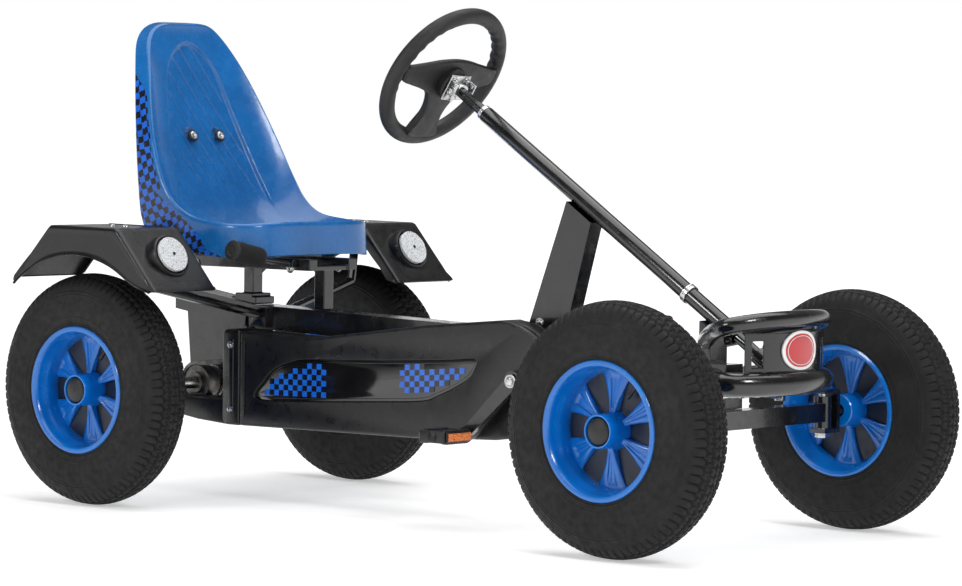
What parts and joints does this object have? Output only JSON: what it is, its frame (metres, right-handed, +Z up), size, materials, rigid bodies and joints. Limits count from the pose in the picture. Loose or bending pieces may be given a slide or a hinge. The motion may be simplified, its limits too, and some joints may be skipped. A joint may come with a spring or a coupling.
{
  "type": "pedal go kart",
  "caption": "Pedal go kart with a spine beam, bucket seat on a slide, raked steering column, chain drive to the rear axle, mudguards and a tubular bumper.",
  "frame": {"origin": "on the ground, midway between the axles, on the centre plane", "axes": "+X forward, +Y to the driver's left, +Z up"},
  "size_m": [1.53, 0.768, 0.8562],
  "materials": {
    "frame_paint": "gloss black powder coat",
    "black_plastic": "satin black moulded plastic",
    "guard_gloss": "polished recess in the black guard",
    "grip_rubber": "soft black grip",
    "blue_plastic": "gloss bright blue moulded plastic",
    "seat_blue": "satin blue blow-moulded plastic",
    "tyre_rubber": "matt black tyre",
    "zinc": "bright zinc plate",
    "chain_steel": "oiled steel",
    "clear_lens": "clear prismatic reflector",
    "amber_lens": "amber prismatic reflector",
    "badge": "printed gloss badge",
    "film_blue": "printed blue film"
  },
  "bodies": {
    "frame": {"main_beam": "frame_paint", "axle_bearing_right": "zinc", "axle_bearing_left": "zinc", "column_tube": "frame_paint", "column_top_bush": "zinc", "column_collar": "zinc", "column_strut": "frame_paint", "front_head": "frame_paint", "front_axle": "frame_paint", "kingpin_right": "zinc", "kingpin_left": "zinc", "bumper_lower_tube": "frame_paint", "bumper_upper_tube": "frame_paint", "bumper_plate": "frame_paint", "badge": "badge", "chain": "chain_steel", "chain_guard": "black_plastic", "chain_guard_back": "black_plastic", "chain_guard_rear": "black_plastic", "mudguard_right": "black_plastic", "mudguard_left": "black_plastic", "mudguard_support_right": "frame_paint", "mudguard_support_left": "frame_paint", "reflector_right": "clear_lens", "reflector_left": "clear_lens", "seat_frame": "frame_paint"},
    "steering": {"steering_shaft": "frame_paint", "steering_wheel": "grip_rubber", "wheel_hub_clamp": "zinc", "drop_arm": "frame_paint"},
    "knuckle_right": {"knuckle_right": "frame_paint"},
    "knuckle_left": {"knuckle_left": "frame_paint"},
    "tie_rod_right": {"tie_rod_right": "zinc"},
    "tie_rod_left": {"tie_rod_left": "zinc"},
    "front_wheel_right": {"tyre_front_right": "tyre_rubber", "rim_front_right": "blue_plastic", "hub_cap_front_right": "black_plastic"},
    "front_wheel_left": {"tyre_front_left": "tyre_rubber", "rim_front_left": "blue_plastic", "hub_cap_front_left": "black_plastic"},
    "rear_drive": {"rear_axle": "zinc", "drive_hub": "chain_steel", "tyre_rear_right": "tyre_rubber", "rim_rear_right": "blue_plastic", "hub_cap_rear_right": "black_plastic"},
    "rear_wheel_left": {"tyre_rear_left": "tyre_rubber", "rim_rear_left": "blue_plastic", "hub_cap_rear_left": "black_plastic"},
    "crank": {"crank_axle": "zinc", "crank_arm_right": "frame_paint", "crank_arm_left": "frame_paint", "chainring": "chain_steel"},
    "pedal_right": {"pedal_right": "black_plastic"},
    "pedal_left": {"pedal_left": "black_plastic"},
    "seat": {"seat_shell": "seat_blue", "seat_carriage": "frame_paint", "seat_bolt_right": "zinc", "seat_bolt_left": "zinc"},
    "seat_lever": {"seat_lever": "frame_paint", "seat_lever_grip": "grip_rubber"}
  },
  "joints": [
    {"name": "steering", "type": "hinge", "parent": "frame", "child": "steering", "pos_m": [-0.025, 0, 0.7138], "axis": [0.8368, 0, -0.5476], "range_deg": [-26, 26]},
    {"name": "knuckle_right", "type": "hinge", "parent": "frame", "child": "knuckle_right", "pos_m": [0.566, -0.228, 0.2], "axis": [0, 0, 1], "range_deg": [-20, 20]},
    {"name": "knuckle_left", "type": "hinge", "parent": "frame", "child": "knuckle_left", "pos_m": [0.566, 0.228, 0.2], "axis": [0, 0, 1], "range_deg": [-20, 20]},
    {"name": "tie_rod_right", "type": "hinge", "parent": "knuckle_right", "child": "tie_rod_right", "pos_m": [0.5, -0.2, 0.222], "axis": [0, 0, 1], "range_deg": [-23, 23]},
    {"name": "tie_rod_left", "type": "hinge", "parent": "knuckle_left", "child": "tie_rod_left", "pos_m": [0.5, 0.2, 0.222], "axis": [0, 0, 1], "range_deg": [-23, 23]},
    {"name": "front_wheel_right", "type": "hinge", "parent": "knuckle_right", "child": "front_wheel_right", "pos_m": [0.566, -0.313, 0.19904], "axis": [0, 1, 0], "continuous": true},
    {"name": "front_wheel_left", "type": "hinge", "parent": "knuckle_left", "child": "front_wheel_left", "pos_m": [0.566, 0.313, 0.19904], "axis": [0, 1, 0], "continuous": true},
    {"name": "rear_drive", "type": "hinge", "parent": "frame", "child": "rear_drive", "pos_m": [-0.566, 0, 0.19904], "axis": [0, 1, 0], "continuous": true},
    {"name": "rear_wheel_left", "type": "hinge", "parent": "frame", "child": "rear_wheel_left", "pos_m": [-0.566, 0.331, 0.19904], "axis": [0, 1, 0], "continuous": true},
    {"name": "crank", "type": "hinge", "parent": "frame", "child": "crank", "pos_m": [0.199, 0, 0.245], "axis": [0, 1, 0], "continuous": true},
    {"name": "pedal_right", "type": "hinge", "parent": "crank", "child": "pedal_right", "pos_m": [0.09709, -0.17, 0.15195], "axis": [0, 1, 0], "continuous": true},
    {"name": "pedal_left", "type": "hinge", "parent": "crank", "child": "pedal_left", "pos_m": [0.30091, 0.1, 0.33805], "axis": [0, 1, 0], "continuous": true},
    {"name": "seat_slide", "type": "slide", "parent": "frame", "child": "seat", "axis": [1, 0, 0], "range_m": [-0.04, 0.08]},
    {"name": "seat_lever", "type": "hinge", "parent": "seat", "child": "seat_lever", "pos_m": [-0.356, -0.068, 0.416], "axis": [1, 0, 0], "range_deg": [0, 10], "stiffness_Nm_per_rad": 0.8, "springref_deg": -28.65}
  ],
  "couplings": [
    {"joint": "knuckle_right", "follows": "steering", "ratio": -0.76},
    {"joint": "knuckle_left", "follows": "steering", "ratio": -0.76},
    {"joint": "tie_rod_right", "follows": "steering", "ratio": 0.87},
    {"joint": "tie_rod_left", "follows": "steering", "ratio": 0.87},
    {"joint": "crank", "follows": "rear_drive", "ratio": 0.5}
  ]
}
